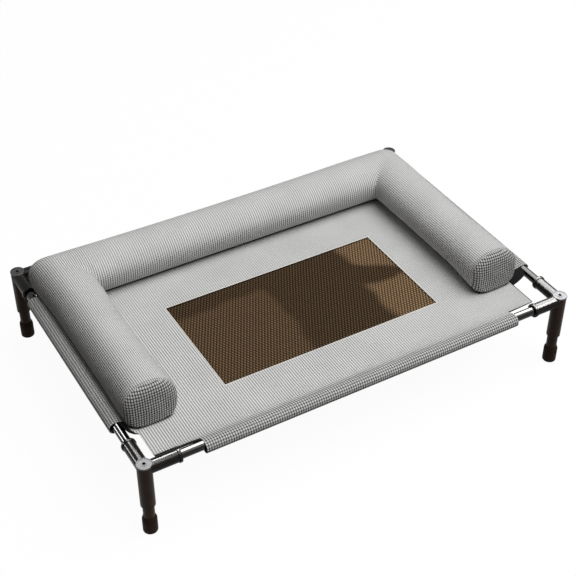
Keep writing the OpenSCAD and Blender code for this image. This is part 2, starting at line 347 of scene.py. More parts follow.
# %% [markdown]
# The bolt heads are turned on a lathe, which leaves rings about their axis, and are
# then plated black. The corners are folded into one again.

# %% Turned steel
TOOL_MARK = 0.7 * MM
SOCKET_EDGE = (2.6 * MM, 3.1 * MM)

turned, shader, place = placed("turned_steel", Metallic=1.0)
radius = from_post(place)
# Tool marks are about 0.1 mm apart; they are drawn 0.7 mm apart so that they show.
rings = calc("SINE", calc("MULTIPLY", radius, 2 * math.pi / TOOL_MARK))
tint = ramp(noise(place, 400, 3), "#464647", "#525152")
# Painted shade: the colour fades to black inside the hex socket.
socket_shaded = vector("SCALE", tint, Scale=remap(radius, SOCKET_EDGE, (0.04, 1)))
drive(shader, Base_Color=socket_shaded, Roughness=remap(rings, (-1, 1), (0.28, 0.42)),
      Normal=bump(rings, 0.08, 0.1 * MM))

# %% [markdown]
# The legs are tubes under a baked powder coat, which sets with a fine orange-peel
# skin. The feet are soft rubber: dull, a little dusty near the floor.

# %% Powder coat, rubber and plug nylon
PEEL = 1.2 * MM
RUBBER_GRAIN = 0.9 * MM
DUST_HEIGHT = 12 * MM
CRISP_ANGLE = math.radians(35)

coated, shader, place = placed("powder_coated_steel", Specular_IOR_Level=0.08)
cloud = noise(place, 45, 2)
peel = noise(place, 1 / PEEL, 1)
drive(shader, Base_Color=ramp(cloud, "#231610", "#332117"),
      Roughness=remap(cloud, target=(0.34, 0.46)), Normal=bump(peel, 0.1, 0.2 * MM))

rubber, shader, place = placed("moulded_rubber", Specular_IOR_Level=0.06)
height = after("SeparateXYZ", {0: place})["Z"]
dust = noise(place, 140, 5)
low_down = remap(height, (0, DUST_HEIGHT), (0.35, 0))
dusty = calc("MULTIPLY", dust, low_down)
grain = noise(place, 1 / RUBBER_GRAIN, 2)
drive(shader, Base_Color=blend(dusty, colour("#2a1d17"), colour("#5a5148")),
      Roughness=remap(dust, target=(0.5, 0.72)), Normal=bump(grain, 0.2, 0.2 * MM))

plug, shader, place = placed("natural_nylon", Roughness=0.5)
cloud = noise(place, 120, 2)
drive(shader, Base_Color=ramp(cloud, "#86837e", "#96938d"))

HARD_FINISHES = {
    "corner_fitting": nylon, "corner_bolt": turned, "leg_plug": plug, "leg_tube": coated, "foot": rubber,
    "rail_front": plated_x, "rail_back": plated_x, "rail_left": plated_y, "rail_right": plated_y,
}
for name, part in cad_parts.items():
    for start, finish in HARD_FINISHES.items():
        if name.startswith(start):
            part.data.materials.clear()
            part.data.materials.append(finish)
            part.data.shade_smooth()
            weld = part.modifiers.new("weld", "WELD")
            weld.merge_threshold = 0.01 * MM
            crisp = part.modifiers.new("crisp_edges", "EDGE_SPLIT")
            crisp.split_angle = CRISP_ANGLE
print("hard finishes", sorted({finish.name for finish in HARD_FINISHES.values()}))

# %% [markdown]
# ## Cloth
#
# Deck and bolster are cut from one heavy plain weave in light grey polyester, with
# dark gaps where four threads meet. The pattern follows the UV map, which holds the
# flat cut in metres, so it stays square wherever the cloth turns. Two sine waves give
# the threads across and along, and their product says which one is on top.
#
# Cloth that is pulled round something gapes, and cloth that lies flat closes up. Each
# piece says how far with an attribute: 0 is smooth, 1 shows the threads, and 2 shows
# the dark between them. The bolster also uses it for painted shade on its ends and on
# sides that face away from the light. Where cloth lies on cloth, ambient occlusion
# paints shade into the colour, so it fades to black there.

# %% Woven polyester
THREAD_U = 4.3 * MM
THREAD_V = 4.8 * MM
THREAD_SLACK = 1.2 * MM
THREAD_RISE = 0.9 * MM
EVEN = 0.62
NOOK = 6 * MM
NOOK_FROM = (0.32, 0.72)
WEAVE_STOPS = (0.15, 0.5, 0.85)
# Fibres to the metre, across a thread and along it
FIBRES = (2400, 260)


def woven(name, dark, middle, light, gapes=("#0e0e0e", "#727271", "#c8c8c7")):
    """Plain weave on the UV map flat_cut, with its colours where it gapes."""
    made, shader = finish_named(name, Roughness=0.88, Specular_IOR_Level=0.08,
                                Sheen_Weight=0.12, Sheen_Roughness=0.5)
    tree = shader.id_data
    gape_and_shade = add(tree, "Attribute", attribute_name="gape_and_shade")["Fac"]
    cut = add(tree, "UVMap", uv_map="flat_cut")[0]
    drift = vector("SUBTRACT", noise(cut, 70, 2, "Color"), (0.5, 0.5, 0.5))
    loose = vector("ADD", cut, vector("SCALE", drift, Scale=THREAD_SLACK))
    turns = vector("MULTIPLY", loose, (math.pi / THREAD_U, math.pi / THREAD_V, 0))
    part = after("SeparateXYZ", {0: turns})
    waves = [calc("SINE", part[axis]) for axis in "XY"]
    ridges = [calc("POWER", calc("ABSOLUTE", wave), 0.7) for wave in waves]
    # The gaps across show only where the attribute is high: open cloth, and painted shade on the bolster
    cross_gap = remap(gape_and_shade, (0.9, 1.3), (0.85, 0.2))
    grid = calc("MULTIPLY", ridges[0], remap(ridges[1], target=(cross_gap, 1)))
    contrast = remap(gape_and_shade, target=(0.12, 1))
    pattern = calc("MULTIPLY_ADD", calc("SUBTRACT", grid, EVEN), contrast, EVEN)
    closed = ramp(pattern, dark, middle, light, at=WEAVE_STOPS)
    gaping = ramp(grid, *gapes, at=WEAVE_STOPS)
    shade = blend(remap(gape_and_shade, (1, 2)), closed, gaping)
    # Which thread is on top: the one along V where the product is positive, else the one along U
    front = remap(calc("MULTIPLY", *waves), (-0.08, 0.08))
    along = [noise(vector("MULTIPLY", cut, (*fine, 1)), 1, 2) for fine in (FIBRES, FIBRES[::-1])]
    fibre = after("Mix", {"Factor": front, "A": along[1], "B": along[0]})[0]
    crown = after("Mix", {"Factor": front, "A": ridges[1], "B": ridges[0]})[0]
    top = calc("MULTIPLY_ADD", fibre, 0.25, calc("MULTIPLY", crown, grid))
    uneven = calc("ADD", fibre, noise(cut, 14, 3))
    tone = remap(uneven, (0.6, 1.4), (0.9, 1.08))
    # Painted shade: ambient occlusion darkens the colour to black within NOOK of other cloth
    nook = add(tree, "AmbientOcclusion", {"Distance": NOOK}, samples=8)["AO"]
    tone_and_nook_shade = calc("MULTIPLY", tone, remap(nook, NOOK_FROM))
    depth = remap(gape_and_shade, target=(0.25, 0.55))
    drive(shader, Base_Color=vector("SCALE", shade, Scale=tone_and_nook_shade),
          Normal=bump(top, depth, THREAD_RISE))
    return made


grey_cloth = woven("woven_polyester", "#454544", "#b0b0af", "#dcdcdb")
pale_edge = woven("pale_cloth_edge", "#a8a39b", "#d9d4cb", "#ece7de")
# Black for the turned-down flap edges, and painted shade on the wide right flaps
black_edge_and_shade = woven("black_edge_and_painted_shade", "#060606", "#0d0d0d", "#151515", ("#080808", "#161616", "#262626"))
CLOTHS = (grey_cloth, pale_edge, black_edge_and_shade)
PALE, BLACK = 1, 2
print("cloth", [cloth.name for cloth in CLOTHS])

# %% [markdown]
# The deck is one sheet. It starts as a plane at the size of the panel, is cut along
# straight lines, and loses the window. Each side is then pulled out edge by edge
# round its rail and back under the panel, as the hem is sewn. Every new edge adds its
# length to the flat cut, which becomes the UV map.
#
# A hem ends short of the corners. Past its mouths a flap of cloth is left, cut away
# in a curve, with its edge turned down and coloured black. The wide flaps on the right
# are black all over, as painted shade under the bolster's ends, and narrow ones run
# along the front rail.

# %% Deck cloth
RAIL_LOW, RAIL_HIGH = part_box("rail_front")
RAIL_R = (RAIL_HIGH.z - RAIL_LOW.z) / 2
RAIL_Z = (RAIL_HIGH.z + RAIL_LOW.z) / 2
PANEL_X = (-0.376, 0.355)
PANEL_Y = (-0.250, 0.250)
PANEL_SIZE = (PANEL_X[1] - PANEL_X[0], PANEL_Y[1] - PANEL_Y[0])
WINDOW_X = (-0.209, 0.209)
WINDOW_Y = (-0.168, 0.054)
WINDOW_SIZE = (WINDOW_X[1] - WINDOW_X[0], WINDOW_Y[1] - WINDOW_Y[0])
CLOTH_T = 1.2 * MM
HEM_GAP = 0.1 * MM
OVER_R = RAIL_R + HEM_GAP + CLOTH_T / 2
HEM_LOOP_R = 10 * MM
HEM_BULGE = 2.4 * MM
HEM_LAYERS = 0.05 * MM
STITCH_LAP = 5 * MM
LONG_MOUTH = 0.300
SIDE_MOUTH = (-0.167, 0.187)
EDGE_BAND = 1.8 * MM
STEP = 20 * MM
SLOPE_SHARES = (0.0, 0.1, 0.6, 0.9)
BACK_SHARES = (0.1, 0.5, 0.9, 1.0)
TOP_POINTS = 5
LOOP_POINTS = 26
BLACK_LIP = 4 * MM
SHADED_FLAP_MM = 30
# The cloth past the mouths of a hem: (how far past, how wide it still is) in mm
LEFT_FRONT = ((0, 18.8), (8, 17.8), (16, 16.3), (24, 13.2), (30, 7.5), (33, 0))
LEFT_BACK = ((0, 18.8), (8, 15.6), (19, 15.2), (22.5, 11.2), (30, 11.2), (63, 13.2))
RIGHT_FRONT = ((0, 39), (12, 37), (20.5, 32), (25, 19.5), (27.5, 11), (29, 3.5), (30, 1), (83, 1))
RIGHT_BACK = ((0, 39), (8, 29), (15, 17), (25, 6), (30, 0))
FRONT_LEFT = ((0, 14.6), (6, 12), (14, 10.5), (36, 10.2), (39, 6.8), (76, 6.8))
FRONT_RIGHT = ((0, 14.6), (0.6, 3.9), (25, 2.5), (55, 0.6))


def hem_path(edge):
    """Points of the cloth round a rail as (inward, up) from its axis, from the panel's edge on."""
    loop_r = HEM_LOOP_R + CLOTH_T / 2
    loop = Vector((-HEM_BULGE, RAIL_R + HEM_GAP - HEM_LOOP_R))
    under = Vector((edge, -CLOTH_T - HEM_LAYERS))
    rise = math.acos(OVER_R / edge)
    reach = under - loop
    fall = math.atan2(reach.y, reach.x) - math.acos(loop_r / reach.length)
    first = Vector((edge, 0))
    top = [Vector((math.cos(a), math.sin(a))) * OVER_R for a in np.linspace(rise, math.pi / 2, TOP_POINTS)]
    round_it = [
        loop + Vector((math.cos(a), math.sin(a))) * loop_r
        for a in np.linspace(math.pi / 2, 2 * math.pi + fall, LOOP_POINTS)
    ]
    slope = [first.lerp(top[0], share) for share in SLOPE_SHARES]
    back = [round_it[-1].lerp(under, share) for share in BACK_SHARES]
    return slope + top + round_it + back + [under + Vector((STITCH_LAP, 0))]


def cut_lines(axis, places):
    """Cuts the open mesh at these places along an axis."""
    normal = Vector((0, 0, 0))
    normal[axis] = 1
    for place in places:
        edit()
        bpy.ops.mesh.bisect(plane_co=normal * place, plane_no=normal)


def pick(piece, kind, test):
    """Selects only the edges or faces of an open mesh that pass a test."""
    mesh = bmesh.from_edit_mesh(piece.data)
    bpy.ops.mesh.select_all(action="DESELECT")
    for item in getattr(mesh, kind):
        item.select_set(test(item))
    bmesh.update_edit_mesh(piece.data)


def pick_line(piece, along, ends, test):
    """Selects only the edges between two ends along an axis whose points pass a test."""
    pick(piece, "edges", lambda edge: all(
        test(v.co) and ends[0] - NEAR < v.co[along] < ends[1] + NEAR for v in edge.verts))


def in_window(spot, margin=0):
    """Whether a place is in the window, or in a margin round it."""
    return all(low - margin < place < high + margin
               for place, (low, high) in zip(spot, (WINDOW_X, WINDOW_Y)))


def spaced(low, high, step):
    """Places between two ends, about a step apart, without the ends."""
    return list(np.linspace(low, high, max(2, round((high - low) / step)) + 1))[1:-1]


def settle():
    """Puts the place of the selected piece into its mesh."""
    bpy.ops.object.transform_apply()


def edit():
    """Opens the mesh of the active piece, if it is closed, and selects all of it."""
    bpy.ops.object.mode_set(mode="EDIT")
    bpy.ops.mesh.select_all(action="SELECT")


def done():
    """Closes the mesh again."""
    bpy.ops.object.mode_set(mode="OBJECT")


def points_of(mesh):
    """Coordinates of the points of a mesh, in one run."""
    places = np.zeros(len(mesh.vertices) * 3)
    mesh.vertices.foreach_get("co", places)
    return places


bpy.ops.mesh.primitive_plane_add(size=1, location=(sum(PANEL_X) / 2, sum(PANEL_Y) / 2, RAIL_Z))
deck = named("deck_cloth")
deck.scale = (*PANEL_SIZE, 1)
settle()
edit()
bpy.ops.mesh.select_mode(type="EDGE")
# Each axis: the ends of the panel and of the window, the mouths, and the cloth past either mouth
CUTS = (
    (0, PANEL_X, WINDOW_X, (-LONG_MOUTH, LONG_MOUTH), FRONT_LEFT[:-1], FRONT_RIGHT[:-1]),
    (1, PANEL_Y, WINDOW_Y, SIDE_MOUTH, LEFT_FRONT + RIGHT_FRONT[1:-1], LEFT_BACK[:-1]),
)
for axis, panel, window, mouths, before, behind in CUTS:
    places = [*window, window[0] - EDGE_BAND, window[1] + EDGE_BAND]
    places += [mouths[0] - past * MM for past, _ in before]
    places += [mouths[1] + past * MM for past, _ in behind]
    cut_lines(axis, places + spaced(*panel, STEP))
pick(deck, "faces", lambda face: in_window(face.calc_center_median()))
bpy.ops.mesh.delete(type="FACE")
done()
flat = deck.data.attributes.new("flat", "FLOAT_VECTOR", "POINT")
flat.data.foreach_set("vector", points_of(deck.data))

# Each hem: outward direction, place of the rail and of the panel's edge, mouths, and the cloth past them
HEMS = [
    (Vector((0, -1, 0)), FRAME_Y, -PANEL_Y[0], (-LONG_MOUTH, LONG_MOUTH), (FRONT_LEFT, FRONT_RIGHT)),
    (Vector((0, 1, 0)), FRAME_Y, PANEL_Y[1], (-LONG_MOUTH, LONG_MOUTH), ()),
    (Vector((-1, 0, 0)), FRAME_X, -PANEL_X[0], SIDE_MOUTH, (LEFT_FRONT, LEFT_BACK)),
    (Vector((1, 0, 0)), FRAME_X, PANEL_X[1], SIDE_MOUTH, (RIGHT_FRONT, RIGHT_BACK)),
]


def draw_in(piece, out, edge, along, mouths, flaps):
    """Narrows the cloth past the mouths of a hem to its cut-out, turns its edge down in black and paints
    wide flaps black as shade. Returns its area.
    """
    mesh = bmesh.from_edit_mesh(piece.data)
    layer = mesh.verts.layers.float_vector["flat"]
    for v in mesh.verts:
        for end, side, flap in zip(mouths, (-1, 1), flaps):
            past = (v.co[along] - end) * side
            beyond = v.co.dot(out) - edge
            if past > NEAR and beyond > NEAR:
                share = float(np.interp(past / MM, *zip(*flap))) / flap[0][1]
                v.co -= out * beyond * (1 - share)
                v.co.z = RAIL_Z + (v.co.z - RAIL_Z) * share
                v[layer] = v[layer] - out * (v[layer].dot(out) - edge) * (1 - share)
    for seam in mesh.edges:
        past = [max(mouths[0] - v.co[along], v.co[along] - mouths[1]) for v in seam.verts]
        seam.select_set(seam.select and min(past) > -NEAR)
        if seam.select:
            seam.link_faces[0].material_index = BLACK
    bmesh.update_edit_mesh(piece.data)
    bpy.ops.mesh.extrude_edges_move(TRANSFORM_OT_translate={"value": (0, 0, -BLACK_LIP)})
    mesh = bmesh.from_edit_mesh(piece.data)
    widest = flaps[0][0][1]
    for v in mesh.verts:
        if v.select:
            v.co.z += BLACK_LIP * (1 - (v.co.dot(out) - edge) / (widest * MM))
    for face in mesh.faces:
        spot = face.calc_center_median()
        past = max(mouths[0] - spot[along], spot[along] - mouths[1])
        # Painted shade: the wide flaps past the mouths are black all over
        shaded_flap = widest > SHADED_FLAP_MM and past > 0 and spot.dot(out) > edge
        if shaded_flap or sum(v.select for v in face.verts) == 2:
            face.material_index = BLACK
    bmesh.update_edit_mesh(piece.data)
    areas = [(q[0] - p[0]) * (p[1] + q[1]) / 2 for flap in flaps for p, q in zip(flap, flap[1:])]
    return sum(areas) * MM * MM


edit()
cut_area = 0.0
for out, rail, edge, mouths, flaps in HEMS:
    along = 0 if out.y else 1
    ends = mouths
    if flaps:
        ends = (mouths[0] - flaps[0][-1][0] * MM, mouths[1] + flaps[1][-1][0] * MM)
    pick_line(deck, along, ends, lambda co: abs(co.dot(out) - edge) < NEAR and abs(co.z - RAIL_Z) < NEAR)
    points = hem_path(rail - edge)
    wrap = 0.0
    for step, (here, there) in enumerate(zip(points, points[1:])):
        if flaps and step == len(SLOPE_SHARES) - 1:
            cut_area += draw_in(deck, out, edge, along, mouths, flaps)
            pick_line(deck, along, mouths, lambda co: abs(co.dot(out) - rail + here.x) < NEAR
                      and abs(co.z - RAIL_Z - here.y) < NEAR)
        move = there - here
        bpy.ops.mesh.extrude_edges_move(
            TRANSFORM_OT_translate={"value": -out * move.x + Vector((0, 0, move.y))})
        mesh = bmesh.from_edit_mesh(deck.data)
        layer = mesh.verts.layers.float_vector["flat"]
        for v in mesh.verts:
            if v.select:
                v[layer] = v[layer] + out * move.length
        bmesh.update_edit_mesh(deck.data)
        wrap += move.length
    cut_area += wrap * (mouths[1] - mouths[0])
edit()
bpy.ops.mesh.remove_doubles(threshold=0.005 * MM)
done()

# %% [markdown]
# The sheet now gets its UV map, its thickness and its pale edges. Solidify gives the
# rims the second, paler material, and a narrow band round the window gets it too. A
# narrow strip lamp, linked to the deck alone, reaches the left hem beside the bolster.

# %% Deck thickness and edges
SMOOTH_X, SMOOTH_Y = 0.75, 0.5
SMOOTH_FROM, SMOOTH_OVER = 0.5, 0.45
PANEL_OPEN, SMOOTH_OPEN = 0.9, 0.1
HEM_OPEN, LEFT_HEM_OPEN = 1.5, 1.16
HEM_REACH = 20 * MM
STRIP_PLACE, STRIP_AIM = (-0.53, 0.01, 0.758), (-0.4, 0.01, 0.158)
STRIP_SIZE, STRIP_WATTS, STRIP_SPREAD = (0.38, 0.006), 0.0019, math.radians(1.2)


def unit(value):
    """The value, held between 0 and 1."""
    return min(1, max(0, value))


def only(*pieces):
    """Selects only these pieces, and makes the first one active."""
    bpy.ops.object.select_all(action="DESELECT")
    for piece in pieces:
        piece.select_set(True)
    bpy.context.view_layer.objects.active = pieces[0]


def apply_all(piece):
    """Applies the modifiers of a piece in their order."""
    only(piece)
    for modifier in list(piece.modifiers):
        bpy.ops.object.modifier_apply(modifier=modifier.name)


def smooth(piece, degrees):
    """Shades a piece smooth, with sharp edges past an angle."""
    only(piece)
    bpy.ops.object.shade_smooth_by_angle(angle=math.radians(degrees))


def map_flat_cut(piece, cut):
    """Gives a piece one UV map, which holds the flat cut of its points."""
    for old in list(piece.data.uv_layers):
        piece.data.uv_layers.remove(old)
    uv = piece.data.uv_layers.new(name="flat_cut")
    for loop, corner in zip(piece.data.loops, uv.data):
        corner.uv = cut[loop.vertex_index]


map_flat_cut(deck, [spot.vector[:2] for spot in deck.data.attributes["flat"].data])
for cloth in CLOTHS:
    deck.data.materials.append(cloth)
for face in deck.data.polygons:
    spot = face.center
    if in_window(spot, EDGE_BAND) and abs(spot.z - RAIL_Z) < NEAR:
        face.material_index = PALE
# The weave is open at the hems, closes over the panel, and is quite smooth far from the front left corner
gape_and_shade = deck.data.attributes.new("gape_and_shade", "FLOAT", "POINT")
for v, spot in zip(deck.data.vertices, gape_and_shade.data):
    beyond = max(PANEL_X[0] - v.co.x, v.co.x - PANEL_X[1], PANEL_Y[0] - v.co.y, v.co.y - PANEL_Y[1])
    far = math.hypot((v.co.x - PANEL_X[0]) / SMOOTH_X, (v.co.y - PANEL_Y[0]) / SMOOTH_Y)
    panel = PANEL_OPEN - (PANEL_OPEN - SMOOTH_OPEN) * unit((far - SMOOTH_FROM) / SMOOTH_OVER)
    hem = LEFT_HEM_OPEN if v.co.x < PANEL_X[0] else HEM_OPEN
    spot.value = panel + (hem - panel) * unit(beyond / HEM_REACH)
wall = deck.modifiers.new("cloth_thickness", "SOLIDIFY")
wall.thickness = CLOTH_T
wall.offset = 0
wall.material_offset_rim = PALE
apply_all(deck)
smooth(deck, 40)
strip = soft_box("hem_strip", STRIP_PLACE, STRIP_AIM, STRIP_SIZE, STRIP_WATTS)
strip.data.spread = STRIP_SPREAD
strip.visible_camera = False
light_only(strip, [deck])
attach(deck, "frame")
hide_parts("deck_cover")

# %% [markdown]
# A row of machine stitches holds each hem, and one runs round the window. One stitch
# is modelled, which dips into the cloth at both ends. Arrays repeat it along the lines.

# %% Stitching
STITCH = 3.6 * MM
STITCH_GAP = 5.0 * MM
STITCH_R = 0.42 * MM
STITCH_FLAT, STITCH_DIP, STITCH_TIP = 0.6, 0.2, 0.6
STITCH_SINK = 1.1 * STITCH_R
HEM_ROW = -3.0 * MM
WINDOW_ROW = 5.5 * MM
DECK_TOP = RAIL_Z + CLOTH_T / 2

thread, shader, place = placed("sewing_thread", Roughness=0.6, Sheen_Weight=0.1)
lay = noise(place, 900, 2)
drive(shader, Base_Color=ramp(lay, "#8f8f8d", "#c4c4c1"))


def repeated(piece, offset, count, merged=False):
    """An array of a piece at an even offset."""
    row = piece.modifiers.new("repeat", "ARRAY")
    row.use_relative_offset = False
    row.use_constant_offset = True
    row.constant_offset_displace = offset
    row.count = count
    row.use_merge_vertices = merged
    row.merge_threshold = 0.01 * MM


def stitch_line(begin, end):
    """A row of stitches on the deck between two points of its plan."""
    span = Vector(end) - Vector(begin)
    bpy.ops.mesh.primitive_cylinder_add(vertices=6, radius=STITCH_R, depth=STITCH * STITCH_FLAT,
                                        rotation=(0, math.pi / 2, 0))
    row = bpy.context.object
    settle()
    edit()
    bpy.ops.mesh.select_mode(type="FACE")
    for side in (-1, 1):
        pick(row, "faces", lambda face: face.normal.x * side > 0.9)
        bpy.ops.mesh.extrude_region_move(
            TRANSFORM_OT_translate={"value": (side * STITCH * STITCH_DIP, 0, -STITCH_SINK)})
        bpy.ops.transform.resize(value=(STITCH_TIP, STITCH_TIP, STITCH_TIP))
    done()
    repeated(row, (STITCH_GAP, 0, 0), int(span.length / STITCH_GAP))
    apply_all(row)
    row.rotation_euler = (0, 0, math.atan2(span.y, span.x))
    first = Vector(begin) + span * 0.5 * STITCH_GAP / span.length
    row.location = (first.x, first.y, DECK_TOP)
    settle()
    return row


rows = []
for xs, ys, grow in ((PANEL_X, PANEL_Y, HEM_ROW), (WINDOW_X, WINDOW_Y, WINDOW_ROW)):
    x0, x1, y0, y1 = xs[0] - grow, xs[1] + grow, ys[0] - grow, ys[1] + grow
    ring = [(x0, y0), (x1, y0), (x1, y1), (x0, y1)]
    for begin, end in zip(ring, ring[1:] + ring[:1]):
        rows.append(stitch_line(begin, end))
only(*rows)
bpy.ops.object.join()
stitching = named("deck_stitching")
stitching.data.materials.append(thread)
smooth(stitching, 60)
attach(stitching, "frame")
print("stitches", len(stitching.data.polygons) // 20)

# %% [markdown]
# ## Net window
#
# The window holds a net of coated yarn in a plain weave. Dark flat yarns lie along X.
# Bronze ones along Y pass over and under them by turns, so that the ones on top show
# as a staggered pattern of dots. One turn of a yarn is modelled, and arrays repeat it
# along and across. The odd yarns are a second set, turned the other way up.
#
# Patches of painted light make the net lighter on the left and at both corners on the
# right. Elsewhere it stays dark, as painted shade. Each patch is where the place is past
# two straight sides, which a slow noise sways a little.

# %% Coated yarn
NET_COLS = 144
NET_ROWS = 42
NET_LOW, NET_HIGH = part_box("mesh_panel")
NET_Z = (NET_LOW.z + NET_HIGH.z) / 2
PITCH_X = WINDOW_SIZE[0] / NET_COLS
PITCH_Y = WINDOW_SIZE[1] / NET_ROWS
WARP_W = 2.3 * MM
WEFT_W = 5.29 * MM
YARN_T = 0.3 * MM
YARN_LIFT = 0.3 * MM
CREST = (NET_Z - 0.05 * MM, NET_Z + 0.42 * MM)
NET_LAP = 12 * MM
NET_SIZE = (WINDOW_SIZE[0] + 2 * NET_LAP, WINDOW_SIZE[1] + 2 * NET_LAP)
EDGE_SHOWS = 2.2 * MM
# Each patch of painted light: how much lighter, and its two sides as (share of X, share of Y, least sum in
# mm)
UNLIT_LEVEL = 0.6
LIT_PATCHES = (
    (0.4, ((-1, 0, 34), (0, -1, -18))),
    (1.2, ((1, 0, 138), (0.73, 1, 103))),
    (1.2, ((1, 0, 132), (0, -1, 66))),
)
LIT_EDGE = 9 * MM
LIT_SWAY = 30 * MM


def coated_yarn(name, dark, light):
    """Vinyl-coated yarn, with painted highlights on the crests and patches of painted light."""
    made, shader, place = placed(name, Specular_IOR_Level=0.05)
    # Painted highlight: the crests of the yarns are lighter
    crest_highlight = remap(after("SeparateXYZ", {0: place})["Z"], CREST)
    mottle = noise(place, 260, 3)
    lit = calc("MULTIPLY", crest_highlight, calc("MULTIPLY_ADD", mottle, 0.5, 0.75))
    tint = ramp(lit, dark, light, at=(0.1, 0.9))
    sway = noise(place, 14, 2)
    level = UNLIT_LEVEL
    for lighter, sides in LIT_PATCHES:
        for across, along, least in sides:
            past = vector("DOT_PRODUCT", place, (across, along, 0))
            past = calc("MULTIPLY_ADD", sway, LIT_SWAY, past)
            middle = least * MM + LIT_SWAY / 2
            lighter = remap(past, (middle - LIT_EDGE, middle + LIT_EDGE), (0, lighter),
                          interpolation_type="SMOOTHSTEP")
        level = calc("ADD", level, lighter)
    drive(shader, Base_Color=vector("SCALE", tint, Scale=level),
          Roughness=remap(mottle, target=(0.9, 1)))
    return made


bronze_yarn = coated_yarn("bronze_yarn", "#2c221a", "#7a6248")
umber_yarn = coated_yarn("umber_yarn", "#2e251c", "#433527")
print("net mesh in mm", round(PITCH_X / MM, 2), round(PITCH_Y / MM, 2))

# %% [markdown]
# A yarn starts as a small ring of six points, is flattened, and is pulled out step by
# step. The sets are placed, trimmed just past the window, capped and joined.

# %% Net
TRIM = 1 * MM
OVERHANG = 4 * MM


def yarn_set(name, width, height, steps, repeats, pitch, count, finish):
    """Yarns along X: steps are the (forward, up) pulls of one turn, which is repeated and copied."""
    bpy.ops.mesh.primitive_circle_add(vertices=6, radius=0.5, rotation=(0, math.pi / 2, 0))
    layer = named(name)
    settle()
    edit()
    bpy.ops.transform.resize(value=(1, width, YARN_T))
    bpy.ops.transform.translate(value=(0, 0, height))
    for forward, rise in steps:
        bpy.ops.mesh.extrude_edges_move(TRANSFORM_OT_translate={"value": (forward, 0, rise)})
    done()
    repeated(layer, (sum(forward for forward, _ in steps), 0, 0), repeats, merged=True)
    repeated(layer, (0, pitch, 0), count)
    apply_all(layer)
    layer.data.materials.append(finish)
    return layer


def place_and_trim(layer, spot, axis, ends):
    """Moves a set of yarns to its place along an axis, trims it past both ends of the window and caps it."""
    layer.rotation_euler = (0, 0, axis * math.pi / 2)
    layer.location = spot
    settle()
    for end, side in zip(ends, (-1, 1)):
        normal = Vector((0, 0, 0))
        normal[axis] = side
        edit()
        bpy.ops.mesh.bisect(plane_co=normal * (end + side * TRIM) * side, plane_no=normal,
                            clear_outer=True, use_fill=True)
    done()


sets = []
pull = PITCH_Y / 2
for odd, lift in ((0, YARN_LIFT), (1, -YARN_LIFT)):
    warp = yarn_set("net_warp", WARP_W, lift, ((pull, 0), (pull, -2 * lift), (pull, 0), (pull, 2 * lift)),
                    NET_ROWS // 2 + 2, 2 * PITCH_X, NET_COLS // 2, bronze_yarn)
    begin = (WINDOW_X[1] - (odd + 0.5) * PITCH_X, WINDOW_Y[0] - 1.25 * PITCH_Y, NET_Z)
    place_and_trim(warp, begin, 1, WINDOW_Y)
    sets.append(warp)
weft = yarn_set("net_weft", WEFT_W, 0, ((WINDOW_SIZE[0] + 2 * OVERHANG, 0),), 1, PITCH_Y, NET_ROWS + 1,
                umber_yarn)
place_and_trim(weft, (WINDOW_X[0] - OVERHANG, WINDOW_Y[0], NET_Z), 0, WINDOW_X)
only(weft, *sets)
bpy.ops.object.join()
net = named("window_net")
smooth(net, 70)
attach(net, "frame")
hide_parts("mesh_panel")
print("net triangles", sum(len(f.vertices) - 2 for f in net.data.polygons))

# %% [markdown]
# A dark band lines the edge of the net under the cloth. It is near black, so it shows
# as a thin line of painted shade inside the window, where the net lies below the cloth.

# %% Net binding
bpy.ops.mesh.primitive_plane_add(size=1, location=(sum(WINDOW_X) / 2, sum(WINDOW_Y) / 2, NET_LOW.z))
net_band = named("net_edge_band")
net_band.scale = (*NET_SIZE, 1)
settle()
edit()
bpy.ops.mesh.inset(thickness=NET_LAP + EDGE_SHOWS)
bpy.ops.mesh.delete(type="FACE")
edit()
bpy.ops.mesh.subdivide(number_cuts=3)
done()
wall = net_band.modifiers.new("band_thickness", "SOLIDIFY")
wall.thickness = NET_HIGH.z - NET_LOW.z
wall.offset = 1
soften = net_band.modifiers.new("soft_rim", "BEVEL")
soften.width = 0.25 * MM
soften.segments = 2
apply_all(net_band)
smooth(net_band, 50)
# Painted shade: the band is near black, so it draws a dark line where the net lies below the cloth
net_band.data.materials.append(coated_yarn("net_edge_shade", "#0f0c0a", "#1b1612"))
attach(net_band, "frame")
print("net faces", len(net.data.polygons))

# %% [markdown]
# ## Bolster
#
# The bolster is a stuffed tube, mitred at two corners and closed by two round end
# panels. A grid is laid round its section and along its path. The shape repeats the
# CAD solid with finer steps, drawn in a little, because the filling swells it later.
# Its foot is squarer outside and at the ends, where the filling sinks into the seams.

# %% Bolster values
BOLSTER_W = 96.5 * MM
HALF_W = BOLSTER_W / 2
BOLSTER_H = 77 * MM
SQUASH = 3.5 * MM
ARM_LEFT = PANEL_X[0] + 30 * MM
ARM_RIGHT = PANEL_X[1] - 34 * MM
ARM_BACK = PANEL_Y[1] - 74 * MM
ARM_FRONT = PANEL_Y[0] + 57 * MM
BOLSTER_Z = DECK_TOP + 0.3 * MM
CORNER_R = 24 * MM
CREASE_R = 2.5 * MM
CREASE_GAP = HALF_W + CREASE_R + 2 * MM
END_ROUND = 14 * MM
END_SIT = 0.7
END_SWELL = 3 * MM
CAP_MIDDLE = 0.42 * BOLSTER_H
CAP_START = 0.04
DRAW_IN = 1.5 * MM
SECT_POW = 0.9
FOOT_POW = 0.6
SLACK = 1.6 * MM
CLOSER = 1.17
AROUND = 56


def signed_pow(value, power):
    """Power that keeps the sign."""
    return np.sign(value) * np.abs(value) ** power


# Section angles start under the bolster, so that the seam of the grid lies on the deck
turn = -math.pi / 2 + np.linspace(0, 2 * math.pi, AROUND + 1)


